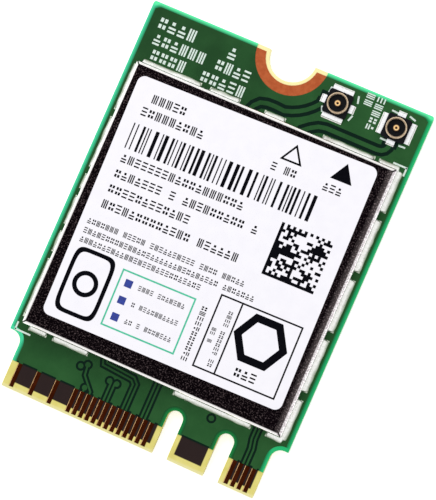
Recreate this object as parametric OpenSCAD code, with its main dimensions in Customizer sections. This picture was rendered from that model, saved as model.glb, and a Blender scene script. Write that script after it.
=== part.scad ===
// Wireless network card for a keyed edge slot.
// The card lies flat: +Z is the component side, +Y points to the screw notch,
// and the contact tongue is at -Y. The origin is the middle of its underside.

/* [Board] */
// Width of the board
board_w = 22; // [21:0.1:24]
// Length of the board, tongue included
board_l = 30; // [29:0.5:34]
// Thickness of the bare laminate
laminate_t = 0.72; // [0.6:0.02:1]
// Radius of the two outer corners
corner_r = 0.2; // [0.1:0.1:0.8]
// Width of the tongue that enters the slot
tongue_w = 19.85; // [19.6:0.05:20]
// Length of the tongue below the shoulders
tongue_l = 4; // [3.6:0.1:4.4]
// Radius of the relief between the tongue and a shoulder
relief_r = 0.8; // [0.4:0.1:1]
// Run of the lead-in chamfer on the tongue's edge
chamfer_l = 0.15; // [0.1:0.05:0.4]
// Depth of the lead-in chamfer into each face
chamfer_d = 0.1; // [0.05:0.05:0.25]

/* [Keys and screw notch] */
// Width of a key notch
key_w = 1.2; // [1:0.05:1.3]
// Depth of a key notch from the tongue's edge
key_d = 3.5; // [3.2:0.1:3.8]
// Centre of the inner key notch from the middle of the board
key_inner_x = 2.625; // [2.6:0.025:2.65]
// Centre of the outer key notch from the middle of the board
key_outer_x = 6.625; // [6.6:0.025:6.65]
// Radius of the half-round screw notch
notch_r = 1.75; // [1.5:0.05:1.8]
// Outer radius of the bare copper ring around the screw notch
ring_r = 2.75; // [2.5:0.05:2.9]

/* [Copper and solder mask] */
// Thickness of a copper layer
copper_t = 0.035; // [0.03:0.005:0.04]
// Thickness of the solder mask over copper
mask_t = 0.02; // [0.015:0.005:0.03]
// Depth by which the mask sinks where there is no copper
mask_dip = 0.012; // [0.008:0.002:0.014]
// Distance that the copper keeps from the board's edge
copper_edge = 0.3; // [0.25:0.05:0.5]
// Distance that the copper keeps from the screw notch
copper_notch = 0.25; // [0.2:0.05:0.35]
// Length of the bare zone at the tongue's edge
bare_l = 2; // [1.8:0.1:2.2]
// Distance from the bare zone to the first copper above it
pour_gap = 0.12; // [0.08:0.02:0.2]

/* [Edge contacts] */
// Spacing of two contacts on one side
pin_pitch = 0.5; // [0.5:0.01:0.52]
// Width of a contact
pin_w = 0.35; // [0.3:0.01:0.38]
// Distance from the lead-in chamfer to a contact
pin_edge = 0.05; // [0:0.05:0.3]

/* [Antenna and signal traces] */
// Width of an antenna trace
antenna_w = 0.32; // [0.25:0.01:0.36]
// Width of the clear channel beside an antenna trace
antenna_gap = 0.27; // [0.2:0.01:0.3]
// Radius of the first antenna trace around the screw notch
antenna_r = 3.88; // [3.8:0.02:3.95]
// Width of a trace in a signal pair
pair_w = 0.14; // [0.1:0.01:0.16]
// Spacing of the two traces in a pair
pair_pitch = 0.28; // [0.24:0.01:0.3]
// Width of the clear channel beside a pair
pair_gap = 0.16; // [0.12:0.01:0.2]
// Radius of the copper land around a via
via_r = 0.2; // [0.16:0.01:0.24]

/* [Shield can] */
// Width of the can
can_w = 20.3; // [20:0.1:20.5]
// Length of the can
can_l = 20.6; // [20:0.1:20.8]
// Height of the can above the board's face
can_h = 1.35; // [1.25:0.05:1.5]
// Thickness of the sheet
sheet_t = 0.15; // [0.12:0.01:0.2]
// Outer radius of the folds
fold_r = 0.3; // [0.22:0.01:0.35]
// Distance from the board's far edge to the can
can_edge = 4.6; // [4.4:0.1:4.8]
// Slit left open at each corner between two walls
corner_slit = 0.1; // [0.05:0.01:0.2]
// Height of the slots in the foot of the walls
slot_h = 0.22; // [0.15:0.01:0.3]
// Width of the solder bead outside a wall
bead_w = 0.38; // [0.15:0.01:0.4]
// Height of the solder bead
bead_h = 0.32; // [0.2:0.01:0.4]
// Width of the tinned strip inside a wall
tin_w = 0.1; // [0.05:0.01:0.2]

/* [Label] */
// Width of the label
label_w = 18.45; // [17:0.05:18.6]
// Length of the label
label_l = 18.45; // [16:0.05:18.6]
// Thickness of the label
label_t = 0.08; // [0.05:0.01:0.12]
// Radius of the label's corners
label_r = 0.55; // [0.5:0.05:2]
// Turn of the label, as it was stuck on
label_turn = 1.2; // [-2.5:0.1:2.5]
// Shift of the label towards the screw notch
label_shift = 0.38; // [0:0.02:0.5]
// Shift of the label towards the keyed side
label_side = -0.06; // [-0.2:0.02:0.2]

/* [Antenna sockets] */
// Distance of both sockets from the board's far edge
socket_edge_y = 1.82; // [1.7:0.02:2]
// Distance of the outer socket from the board's side
socket_edge_x = 2.18; // [2.1:0.02:2.4]
// Spacing of the two sockets
socket_pitch = 4.54; // [4.4:0.02:4.6]
// Side of the square insulator
insulator_w = 1.8; // [1.7:0.02:2.1]
// Height of the insulator
insulator_h = 0.28; // [0.22:0.01:0.34]
// Outer radius of the contact ring
socket_r = 0.765; // [0.7:0.005:0.8]
// Wall of the contact ring
socket_wall = 0.11; // [0.08:0.01:0.14]
// Height of the contact ring
socket_h = 0.6; // [0.5:0.01:0.7]
// Depth of the snap groove around the ring
snap_d = 0.04; // [0.02:0.005:0.06]
// Radius of the centre contact
centre_r = 0.235; // [0.2:0.005:0.26]
// Radius of the hollow in the centre contact
centre_bore_r = 0.1; // [0.06:0.005:0.14]
// Height of the centre contact
centre_h = 0.5; // [0.42:0.01:0.56]
// Reach of the feet from the socket's axis
foot_reach = 1.2; // [1.15:0.01:1.3]
// Width of the long ground feet
foot_w = 1.56; // [1.3:0.02:1.7]
// Width of the short feet
short_foot_w = 0.6; // [0.3:0.02:0.64]
// Thickness of a foot
foot_t = 0.1; // [0.08:0.01:0.12]
// Length of the solder beyond a foot
foot_solder = 0.1; // [0.06:0.01:0.14]

/* [Parts under the can] */
// Room between the can's walls and the parts
part_gap = 0.4; // [0.2:0.1:0.6]
// Side of the radio chip
radio_w = 9; // [8:0.1:9.4]
// Height of the radio chip
radio_h = 0.85; // [0.7:0.05:0.95]
// Side of a front-end module
front_end_w = 3; // [2.5:0.1:3.4]
// Height of a front-end module
front_end_h = 0.6; // [0.5:0.05:0.9]
// Length of the crystal
crystal_l = 2.5; // [2:0.1:3.2]
// Width of the crystal
crystal_w = 2; // [1.6:0.1:2.5]
// Height of the crystal
crystal_h = 0.55; // [0.4:0.05:0.8]
// Length of the memory chip
memory_l = 3; // [2:0.1:3.4]
// Width of the memory chip
memory_w = 2; // [1.5:0.1:2.4]
// Height of the memory chip
memory_h = 0.55; // [0.4:0.05:0.8]
// Side of the power inductor
inductor_w = 2.5; // [2:0.1:3]
// Height of the power inductor
inductor_h = 0.95; // [0.7:0.05:1]
// Length of a band filter
filter_l = 2; // [1.6:0.1:2.4]
// Width of a band filter
filter_w = 1.25; // [0.8:0.05:1.6]
// Height of a band filter
filter_h = 0.6; // [0.4:0.05:0.8]
// Length of a small capacitor or resistor
small_l = 1; // [0.8:0.1:1.2]
// Width of a small capacitor or resistor
small_w = 0.5; // [0.4:0.05:0.6]
// Height of a small capacitor
capacitor_h = 0.5; // [0.3:0.05:0.6]
// Height of a small resistor
resistor_h = 0.35; // [0.25:0.05:0.4]

/* [Hidden] */

$fn = 64;
// Longer than anything on the card, for cuts that run right through
past = 60;
// Overlap of a cutting shape beyond the face that it cuts
cut = 1;

// Heights of the layers, from the underside up
copper_low_z = mask_t;
laminate_z = copper_low_z + copper_t;
copper_z = laminate_z + laminate_t;
copper_top_z = copper_z + copper_t;
face_z = copper_top_z + mask_t;
can_top_z = face_z + can_h;

far_y = board_l / 2;
near_y = -board_l / 2;
shoulder_y = near_y + tongue_l;
mask_y = near_y + bare_l;
side_x = board_w / 2;
can_y = far_y - can_edge - can_l / 2;

// Contact numbers that are fitted; odd ones are on the component side
middle_pin = 38;
function pin_x(n) = (middle_pin - n) * pin_pitch / 2;
pins_ground = [1, 7, 33, 39, 45, 51, 57, 63, 69, 75];
pins_top = [1, 3, 5, 7, 33, 35, 37, 39, 41, 43, 45, 47, 49, 51, 53, 55, 57, 63, 69, 75];
pins_bottom = [for (n = [2 : 2 : 74]) if (n <= 6 || (n >= 16 && n <= 22) || n >= 32) n];

// Socket places: x, y and turn
sockets = [
    [side_x - socket_edge_x - socket_pitch, far_y - socket_edge_y, 0],
    [side_x - socket_edge_x, far_y - socket_edge_y, 90]
];
// Distance from a socket's axis to the middle of its pads
pad_reach = (insulator_w / 2 + foot_reach + foot_solder) / 2;

// Points on an arc about a centre
function arc_points(centre, r, from, to, step) =
    [for (a = [from : step : to]) centre + r * [cos(a), sin(a)]];

// Middle lines of the two antenna traces, from the socket to under the can
exit_1_x = -1.45;
exit_2_x = 2.45;
wall_y = can_y + can_l / 2;
run_y = wall_y + 0.86;
antenna_path_1 = concat(
    [[sockets[0][0] - pad_reach, sockets[0][1]]],
    arc_points([0, far_y], antenna_r, -36, -76, -8),
    [[0.2, run_y + 0.02], [exit_1_x + 1.05, run_y], [exit_1_x + 0.55, run_y - 0.14],
    [exit_1_x + 0.2, run_y - 0.5], [exit_1_x, wall_y - 0.1], [exit_1_x, wall_y - 1]]
);
antenna_path_2 = [
    [sockets[1][0], sockets[1][1] - pad_reach],
    [sockets[1][0], run_y + 0.45], [sockets[1][0] - 0.13, run_y + 0.22],
    [sockets[1][0] - 0.36, run_y + 0.06], [sockets[1][0] - 0.7, run_y],
    [exit_2_x + 1.75, run_y], [exit_2_x + 1.2, run_y - 0.12], [exit_2_x + 0.7, run_y - 0.42],
    [exit_2_x + 0.2, wall_y + 0.02], [exit_2_x, wall_y - 0.4], [exit_2_x, wall_y - 1]
];

// Middle lines of the signal pairs, from a contact pair to under the can.
// A lane is a height between the bare zone at 0 and the can's near wall at 1.
near_wall_y = can_y - can_l / 2;
function lane(t) = mask_y + t * (near_wall_y - mask_y);
under_can_y = near_wall_y + 1;
pair_paths = [
    [[pin_x(48), mask_y], [pin_x(48), lane(0.54)]],
    [[pin_x(42), mask_y], [pin_x(42), lane(0.71)], [pin_x(42) - 0.3, lane(0.82)],
    [pin_x(42) - 2.6, lane(0.88)], [pin_x(42) - 3.1, under_can_y]],
    [[pin_x(36), mask_y], [pin_x(36), under_can_y]],
    [[pin_x(4), mask_y], [pin_x(4), lane(0.43)], [pin_x(4) - 0.15, lane(0.68)],
    [pin_x(4) - 0.15, under_can_y]]
];
// The single trace from one contact to its via
single_path = [[pin_x(53), mask_y], [pin_x(53), lane(0.07)], [pin_x(53) - 0.85, lane(0.4)],
    [pin_x(53) - 0.95, lane(0.68)]];
// Vias by themselves or at the end of a trace
vias = [
    [pin_x(53) - 0.95, lane(0.68)], [pin_x(53) - 1.4, lane(0.58)],
    [pin_x(55), lane(0.11)],
    [pin_x(49) - 0.03, lane(0.53)], [pin_x(47) + 0.03, lane(0.53)],
    [pin_x(18), lane(0.72)]
];

// Sections of the can's foot without solder, as place and width along each side.
// The sides are right, far, left and near, and places are measured from the can's middle.
side_gaps = [
    [for (i = [-1.5 : 1 : 1.5]) [i * 0.225 * can_l - 0.06, 0.6]],
    [[0.35 - can_w / 2, 1.1], [-0.246 * can_w, 0.66], [exit_1_x + 0.14, 1.9],
    [exit_2_x + 0.31, 2.9], [0.415 * can_w, 0.3]],
    [for (t = [-0.245, -0.139, -0.003, 0.08, 0.3]) [t * can_l, 0.55]],
    [[-0.398 * can_w, 0.46], [-0.08 * can_w, 0.333 * can_w], [pin_x(4) - 0.09, 1.16]]
];
// A side's own axis runs backwards along the far and left sides
side_sign = [1, -1, -1, 1];
function side_reach(k) = (k % 2 == 0 ? can_w : can_l) / 2;
function side_half(k) = (k % 2 == 0 ? can_l : can_w) / 2 - fold_r - corner_slit;

// Vertices of a path moved sideways, with mitred corners
function unit(v) = v / norm(v);
function left_of(v) = [-v[1], v[0]];
function edge_normal(path, i) = left_of(unit(path[i + 1] - path[i]));
function mitre(path, i) =
    i == 0 ? edge_normal(path, 0)
    : i == len(path) - 1 ? edge_normal(path, i - 1)
    : let(n = edge_normal(path, i - 1), m = edge_normal(path, i)) (n + m) / (1 + n * m);
function shifted(path, d) = [for (i = [0 : len(path) - 1]) path[i] + d * mitre(path, i)];

// A line of even width along a path, with mitred corners
module track(path, w) {
    right = shifted(path, -w / 2);
    left = shifted(path, w / 2);
    polygon(concat(right, [for (i = [len(path) - 1 : -1 : 0]) left[i]]));
}

// The board's outline, pulled in by a distance all round and by another at the screw notch
module board_shape(in = 0, notch_in = 0) {
    r = corner_r + in;
    w = board_w - 2 * in;
    difference() {
        union() {
            translate([-w / 2, shoulder_y + in])
                square([w, far_y - shoulder_y - in - r]);
            translate([r - board_w / 2 + in, far_y - in - r - cut])
                square([w - 2 * r, r + cut]);
            for (s = [-1, 1])
                translate([s * (w / 2 - r), far_y - in - r])
                    circle(r);
            translate([in - tongue_w / 2, near_y + in])
                square([tongue_w - 2 * in, tongue_l + cut]);
            for (s = [-1, 1])
                relief(s, in);
        }
        for (x = [key_inner_x, key_outer_x])
            key_notch(x, in);
        translate([0, far_y])
            circle(notch_r + notch_in);
    }
}

// Concave relief where the tongue meets a shoulder
module relief(s, in) {
    mirror([s < 0 ? 1 : 0, 0])
        difference() {
            translate([tongue_w / 2 - in - cut / 10, shoulder_y - relief_r])
                square([relief_r + in + cut / 10, relief_r + in + cut / 10]);
            translate([tongue_w / 2 + relief_r, shoulder_y - relief_r])
                circle(relief_r + in);
        }
}

module key_notch(x, in) {
    w = key_w + 2 * in;
    translate([x - w / 2, near_y - cut])
        square([w, key_d - key_w / 2 + cut]);
    translate([x, near_y + key_d - key_w / 2])
        circle(d = w);
}

// Everything below a line across the board
module below(y) {
    translate([-past / 2, y - past])
        square([past, past]);
}

// Strips of bare copper under and beside the can's walls
module can_strips(inner, outer) {
    for (k = [0 : 3])
        translate([0, can_y])
            rotate(90 * k)
                difference() {
                    translate([side_reach(k) - inner, -side_half(k)])
                        square([inner + outer, 2 * side_half(k)]);
                    for (gap = side_gaps[k])
                        translate([side_reach(k) - inner - cut, side_sign[k] * gap[0] - gap[1] / 2])
                            square([inner + outer + 2 * cut, gap[1]]);
                }
}

// The four pads of each socket; the first is the antenna's own
module socket_pad(s, k) {
    long = k % 2 == 1;
    w = long ? foot_w : short_foot_w;
    start = socket_r - snap_d;
    translate([s[0], s[1]])
        rotate(s[2] + 180 + 90 * k)
            translate([start, -w / 2])
                square([foot_reach + foot_solder - start, w]);
}

module socket_pads() {
    for (s = sockets)
        for (k = [0 : 3])
            socket_pad(s, k);
}

module antenna_lines() {
    track(antenna_path_1, antenna_w);
    track(antenna_path_2, antenna_w);
    for (s = sockets)
        socket_pad(s, 0);
}

module antenna_channels() {
    track(antenna_path_1, antenna_w + 2 * antenna_gap);
    track(antenna_path_2, antenna_w + 2 * antenna_gap);
    for (s = sockets)
        translate([s[0], s[1]])
            rotate(s[2] + 180)
                translate([socket_r - snap_d - antenna_gap / 2, -short_foot_w / 2 - antenna_gap])
                    square([foot_reach + foot_solder - socket_r + snap_d + antenna_gap,
                        short_foot_w + 2 * antenna_gap]);
}

module signal_lines() {
    for (path = pair_paths)
        for (s = [-1, 1])
            track(shifted(path, s * pair_pitch / 2), pair_w);
    track(single_path, pair_w);
    translate(vias[2] - [pair_w / 2, vias[2][1] - mask_y])
        square([pair_w, vias[2][1] - mask_y]);
    for (v = vias)
        translate(v)
            circle(via_r);
}

module signal_channels() {
    for (path = pair_paths)
        track(path, pair_pitch + pair_w + 2 * pair_gap);
    track(single_path, pair_w + 2 * pair_gap);
    for (v = vias)
        translate(v)
            circle(via_r + pair_gap);
}

// Copper of the ground layer on the component side
module top_pour() {
    difference() {
        board_shape(copper_edge, copper_notch);
        below(mask_y + pour_gap);
        antenna_channels();
        signal_channels();
    }
    for (n = pins_ground)
        translate([pin_x(n) - pin_w / 2, mask_y])
            square([pin_w, pour_gap + copper_t]);
}

module bottom_pour() {
    difference() {
        board_shape(copper_edge, copper_notch);
        below(mask_y + pour_gap);
    }
}

module mask_area() {
    difference() {
        board_shape();
        below(mask_y);
        translate([0, far_y])
            circle(ring_r);
    }
}

module edge_contacts(pins) {
    end = chamfer_l + pin_edge;
    for (n = pins)
        translate([pin_x(n) - pin_w / 2, near_y + end])
            square([pin_w, bare_l - end]);
}

// Glass-fibre laminate with its keys, screw notch and lead-in chamfers
module laminate() {
    color([0.9, 0.88, 0.6])
        difference() {
            translate([0, 0, laminate_z])
                linear_extrude(laminate_t)
                    board_shape();
            lead_in(1);
            lead_in(-1);
        }
}

// Wedge that a lead-in chamfer takes off one face of the tongue's edge
module lead_in(face) {
    h = laminate_t / 2;
    translate([-past / 2, near_y, laminate_z + h])
        rotate([90, 0, 90])
            linear_extrude(past)
                polygon([
                    [-cut, face * (h - chamfer_d)], [0, face * (h - chamfer_d)],
                    [chamfer_l, face * h], [chamfer_l, face * (h + cut)], [-cut, face * (h + cut)]
                ]);
}

module ground_copper_top() {
    color([0.72, 0.4, 0.22])
        translate([0, 0, copper_z])
            linear_extrude(copper_t)
                top_pour();
}

module antenna_traces() {
    color([0.72, 0.45, 0.25])
        translate([0, 0, copper_z])
            linear_extrude(copper_t)
                antenna_lines();
}

module signal_traces() {
    color([0.72, 0.45, 0.25])
        translate([0, 0, copper_z])
            linear_extrude(copper_t)
                signal_lines();
}

// Mask film: it lies over the copper and dips where there is none
module solder_mask_top() {
    color([0.18, 0.36, 0.19])
        difference() {
            translate([0, 0, copper_z])
                linear_extrude(copper_t + mask_t)
                    difference() {
                        mask_area();
                        can_strips(sheet_t + tin_w, bead_w);
                        socket_pads();
                    }
            translate([0, 0, copper_z - cut])
                linear_extrude(cut + copper_t)
                    top_copper();
            translate([0, 0, face_z - mask_dip])
                linear_extrude(cut)
                    difference() {
                        square(past, center = true);
                        top_copper();
                    }
        }
}

module top_copper() {
    top_pour();
    antenna_lines();
    signal_lines();
}

module edge_contacts_top() {
    color([0.8, 0.6, 0.3])
        translate([0, 0, copper_z])
            linear_extrude(copper_t)
                edge_contacts(pins_top);
}

module ground_copper_bottom() {
    color([0.72, 0.4, 0.22])
        translate([0, 0, copper_low_z])
            linear_extrude(copper_t)
                bottom_pour();
}

module solder_mask_bottom() {
    color([0.18, 0.36, 0.19])
        difference() {
            linear_extrude(mask_t + copper_t)
                mask_area();
            translate([0, 0, copper_low_z])
                linear_extrude(cut)
                    bottom_pour();
            translate([0, 0, mask_dip - cut])
                linear_extrude(cut)
                    difference() {
                        square(past, center = true);
                        bottom_pour();
                    }
        }
}

module edge_contacts_bottom() {
    color([0.8, 0.6, 0.3])
        translate([0, 0, copper_low_z])
            linear_extrude(copper_t)
                edge_contacts(pins_bottom);
}

// One piece of sheet: a flat top, four walls folded down, mitred corners with an open slit
// and slotted feet
module shield_can() {
    color([0.75, 0.75, 0.77])
        translate([0, can_y, face_z]) {
            translate([fold_r - can_w / 2, fold_r - can_l / 2, can_h - sheet_t])
                cube([can_w - 2 * fold_r, can_l - 2 * fold_r, sheet_t]);
            for (k = [0 : 3])
                rotate(90 * k)
                    translate([side_reach(k), 0, 0])
                        can_wall(k);
        }
}

module can_wall(k) {
    difference() {
        translate([0, side_reach(k + 1), 0])
            rotate([90, 0, 0])
                linear_extrude(2 * side_reach(k + 1))
                    fold_profile();
        mitred_ends(k);
        for (gap = side_gaps[k])
            translate([-sheet_t - cut / 2, side_sign[k] * gap[0] - gap[1] / 2, -cut])
                cube([sheet_t + cut, gap[1], slot_h + cut]);
    }
}

// What is cut off both ends of a wall, back from the corner's diagonal by half the slit
module mitred_ends(k) {
    for (s = [0, 1])
        mirror([0, s, 0])
            translate([0, side_reach(k + 1), -cut])
                rotate(45)
                    translate([-past / 2, -corner_slit / 2, 0])
                        cube([past, past, can_h + 2 * cut]);
}

// Section of a wall and its fold; the wall's outer face is at x = 0
module fold_profile() {
    translate([-sheet_t, 0])
        square([sheet_t, can_h - fold_r]);
    translate([-fold_r, can_h - fold_r])
        intersection() {
            difference() {
                circle(fold_r);
                circle(fold_r - sheet_t);
            }
            square(fold_r);
        }
}

// Solder along the can's foot: a thin layer under the wall and a bead outside it
module shield_solder() {
    color([0.86, 0.86, 0.84])
        translate([0, can_y, copper_top_z])
            for (k = [0 : 3])
                rotate(90 * k)
                    translate([side_reach(k), 0, 0])
                        difference() {
                            translate([0, side_half(k), 0])
                                rotate([90, 0, 0])
                                    linear_extrude(2 * side_half(k))
                                        bead_profile();
                            for (gap = side_gaps[k])
                                translate([-past / 4, side_sign[k] * gap[0] - gap[1] / 2, -cut])
                                    cube([past / 2, gap[1], can_h + cut]);
                        }
}

module bead_profile() {
    polygon([
        [-sheet_t - tin_w, 0], [bead_w, 0], [bead_w, mask_t], [bead_w * 0.55, bead_h * 0.3],
        [bead_w * 0.2, bead_h * 0.7], [0, bead_h], [0, mask_t], [-sheet_t - tin_w, mask_t]
    ]);
}

module label() {
    color([0.97, 0.96, 0.98])
        translate([label_side, can_y + label_shift, can_top_z])
            rotate(label_turn)
                linear_extrude(label_t)
                    rounded_rectangle(label_w, label_l, label_r);
}

module rounded_rectangle(w, l, r) {
    square([w - 2 * r, l], center = true);
    square([w, l - 2 * r], center = true);
    for (x = [-1, 1])
        for (y = [-1, 1])
            translate([x * (w / 2 - r), y * (l / 2 - r)])
                circle(r);
}

// A place on the board where socket n stands
module at_socket(n) {
    s = sockets[n - 1];
    translate([s[0], s[1], face_z])
        rotate(s[2])
            children();
}

// Height of the moulded web that joins the insulator under the ring
web_t = foot_t + 0.04;

// Sprung contact ring with a snap groove and three feet
module socket_shell() {
    lip = socket_h * 0.3;
    difference() {
        union() {
            translate([0, 0, web_t])
                rotate_extrude()
                    polygon([
                        [0, 0], [socket_r, 0], [socket_r, insulator_h - web_t],
                        [socket_r - snap_d, insulator_h - web_t + snap_d],
                        [socket_r - snap_d, socket_h - web_t - lip - snap_d],
                        [socket_r, socket_h - web_t - lip],
                        [socket_r, socket_h - web_t - snap_d],
                        [socket_r - snap_d, socket_h - web_t], [0, socket_h - web_t]
                    ]);
            for (k = [0 : 2])
                rotate(90 * k - 90)
                    translate([socket_r - socket_wall, -foot_width(k) / 2, 0])
                        cube([foot_reach - socket_r + socket_wall, foot_width(k), web_t + foot_t / 2]);
        }
        translate([0, 0, -cut])
            cylinder(r = socket_r - socket_wall, h = socket_h + 2 * cut);
        foot_step();
    }
}

function foot_width(k) = k % 2 == 0 ? foot_w : short_foot_w;

// Thins the feet outside the ring to the strip's own thickness
module foot_step() {
    translate([0, 0, foot_t])
        linear_extrude(web_t)
            difference() {
                square(4 * socket_r, center = true);
                circle(socket_r);
            }
}

// Centre contact: a hollow post and a flat foot that runs out to its pad
module socket_centre_contact() {
    difference() {
        union() {
            cylinder(r = centre_r, h = centre_h);
            translate([-foot_reach, -short_foot_w / 2, 0])
                cube([foot_reach, short_foot_w, foot_t]);
        }
        translate([0, 0, centre_h / 2])
            cylinder(r = centre_bore_r, h = centre_h);
    }
}

// Moulded insulator around and under the ring
module socket_insulator() {
    difference() {
        linear_extrude(insulator_h)
            difference() {
                square(insulator_w, center = true);
                for (a = [0 : 90 : 270])
                    rotate(a + 45)
                        translate([insulator_w * 0.66, -insulator_w / 2])
                            square(insulator_w);
            }
        translate([0, 0, insulator_h * 0.75])
            cylinder(r = socket_r - socket_wall, h = cut);
        socket_shell();
        socket_centre_contact();
    }
}

module socket_1_shell() {
    color([0.8, 0.68, 0.48])
        at_socket(1)
            socket_shell();
}

module socket_2_shell() {
    color([0.8, 0.68, 0.48])
        at_socket(2)
            socket_shell();
}

module socket_1_insulator() {
    color([0.1, 0.1, 0.12])
        at_socket(1)
            socket_insulator();
}

module socket_2_insulator() {
    color([0.1, 0.1, 0.12])
        at_socket(2)
            socket_insulator();
}

module socket_1_centre_contact() {
    color([0.95, 0.78, 0.5])
        at_socket(1)
            socket_centre_contact();
}

module socket_2_centre_contact() {
    color([0.95, 0.78, 0.5])
        at_socket(2)
            socket_centre_contact();
}

// Solder under and in front of every socket foot
module socket_solder() {
    color([0.86, 0.86, 0.84])
        for (s = sockets)
            for (k = [0 : 3])
                translate([s[0], s[1], copper_top_z])
                    rotate(s[2] + 180 + 90 * k)
                        foot_bead(k % 2 == 1 ? foot_w : short_foot_w);
}

module foot_bead(w) {
    start = socket_r - snap_d;
    translate([0, w / 2, 0])
        rotate([90, 0, 0])
            linear_extrude(w)
                polygon([
                    [start, 0], [foot_reach + foot_solder, 0], [foot_reach + foot_solder, mask_t],
                    [foot_reach + foot_solder * 0.4, mask_t + foot_t * 0.4],
                    [foot_reach, mask_t + foot_t], [foot_reach, mask_t], [start, mask_t]
                ]);
}

// A part under the can, at a place measured from the can's middle
module on_board(x, y) {
    translate([x, can_y + y, face_z])
        children();
}

// Moulded package with a bevelled top edge and a bare metal frame of leads
module package(w, l, h) {
    bevel = 0.08;
    translate([-w / 2, -l / 2, 0])
        cube([w, l, h - bevel]);
    translate([bevel - w / 2, bevel - l / 2, 0])
        cube([w - 2 * bevel, l - 2 * bevel, h]);
}

// Chip part with a metal cap at each end
module end_capped(l, w, h) {
    cap = l * 0.22;
    step = 0.02;
    translate([-l / 2, step - w / 2, step])
        cube([l, w - 2 * step, h - 2 * step]);
    for (s = [-1, 1])
        translate([s * (l - cap) / 2 - cap / 2, -w / 2, 0])
            cube([cap, w, h]);
}

// Half sizes of the clear floor inside the walls, and the rows that the parts stand in
floor_x = can_w / 2 - sheet_t - part_gap;
floor_y = can_l / 2 - sheet_t - part_gap;
filter_y = floor_y - filter_l / 2;
front_end_y = filter_y - filter_l / 2 - part_gap - front_end_w / 2;
radio_x = -1.2;
radio_y = radio_w / 2 + part_gap - floor_y;
mid_row_y = (radio_y + radio_w / 2 + front_end_y - front_end_w / 2) / 2;
right_x = floor_x - inductor_w / 2;
memory_y = memory_l / 2 + small_l - floor_y;
column_y = memory_y + memory_l / 2 + part_gap + small_w / 2;
crystal_y = radio_y - 1.2;

module radio_chip() {
    color([0.12, 0.12, 0.13])
        on_board(radio_x, radio_y)
            package(radio_w, radio_w, radio_h);
}

module front_end_modules() {
    color([0.15, 0.15, 0.16])
        for (x = [exit_1_x - 1.4, exit_2_x + 1.8])
            on_board(x, front_end_y)
                package(front_end_w, front_end_w, front_end_h);
}

module band_filters() {
    color([0.85, 0.84, 0.78])
        for (x = [exit_1_x, exit_2_x])
            on_board(x, filter_y)
                end_capped(filter_w, filter_l, filter_h);
}

module crystal() {
    rim = 0.15;
    color([0.7, 0.68, 0.6])
        on_board(right_x, crystal_y) {
            translate([-crystal_w / 2, -crystal_l / 2, 0])
                cube([crystal_w, crystal_l, crystal_h * 0.6]);
            translate([rim - crystal_w / 2, rim - crystal_l / 2, 0])
                cube([crystal_w - 2 * rim, crystal_l - 2 * rim, crystal_h]);
        }
}

module memory_chip() {
    color([0.12, 0.12, 0.13])
        on_board(memory_w / 2 - floor_x, memory_y)
            package(memory_w, memory_l, memory_h);
}

// Wound inductor: a square ferrite base with a round body
module power_inductor() {
    color([0.3, 0.3, 0.32])
        on_board(right_x, radio_y + radio_w / 2 - inductor_w / 2) {
            translate([-inductor_w / 2, -inductor_w / 2, 0])
                cube([inductor_w, inductor_w, inductor_h * 0.35]);
            cylinder(d = inductor_w * 0.9, h = inductor_h);
        }
}

// One row between the radio chip and the front-end modules, one column above the memory chip
module capacitors() {
    pitch = 3 * small_w;
    color([0.72, 0.6, 0.45])
        for (i = [0 : 3]) {
            on_board(small_l / 2 - floor_x, column_y + i * pitch)
                end_capped(small_l, small_w, capacitor_h);
            on_board(radio_x + 2.6 * small_l * (i - 1.9), mid_row_y)
                end_capped(small_l, small_w, capacitor_h);
        }
}

// One row along the near wall and one column along the left wall
module resistors() {
    pitch = 2.2 * small_w;
    color([0.15, 0.15, 0.17])
        for (i = [0 : 3]) {
            on_board(floor_x - small_w / 2 - i * pitch, small_l / 2 - floor_y)
                rotate(90)
                    end_capped(small_l, small_w, resistor_h);
            on_board(small_l / 2 - floor_x, floor_y - small_w / 2 - i * pitch)
                end_capped(small_l, small_w, resistor_h);
        }
}

laminate();
ground_copper_top();
antenna_traces();
signal_traces();
solder_mask_top();
edge_contacts_top();
ground_copper_bottom();
solder_mask_bottom();
edge_contacts_bottom();
shield_can();
shield_solder();
label();
socket_1_shell();
socket_1_insulator();
socket_1_centre_contact();
socket_2_shell();
socket_2_insulator();
socket_2_centre_contact();
socket_solder();
radio_chip();
front_end_modules();
band_filters();
crystal();
memory_chip();
power_inductor();
capacitors();
resistors();
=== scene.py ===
import math
import random

import bmesh
import bpy
from mathutils import Matrix, Vector


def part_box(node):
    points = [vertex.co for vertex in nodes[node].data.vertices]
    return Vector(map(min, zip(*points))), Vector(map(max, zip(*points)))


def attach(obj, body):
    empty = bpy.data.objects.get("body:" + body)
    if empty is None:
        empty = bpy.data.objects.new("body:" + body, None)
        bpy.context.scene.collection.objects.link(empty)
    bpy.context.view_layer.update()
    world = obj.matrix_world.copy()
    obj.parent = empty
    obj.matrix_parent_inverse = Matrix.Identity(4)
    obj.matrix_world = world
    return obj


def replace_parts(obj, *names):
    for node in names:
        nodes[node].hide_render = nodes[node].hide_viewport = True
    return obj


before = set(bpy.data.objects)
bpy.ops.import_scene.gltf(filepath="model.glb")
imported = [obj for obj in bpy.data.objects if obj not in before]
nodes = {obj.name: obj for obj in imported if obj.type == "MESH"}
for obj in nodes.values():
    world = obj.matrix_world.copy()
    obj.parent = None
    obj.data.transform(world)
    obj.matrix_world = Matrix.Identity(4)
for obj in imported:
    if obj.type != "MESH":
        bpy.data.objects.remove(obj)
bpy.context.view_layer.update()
MM = 0.001


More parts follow.
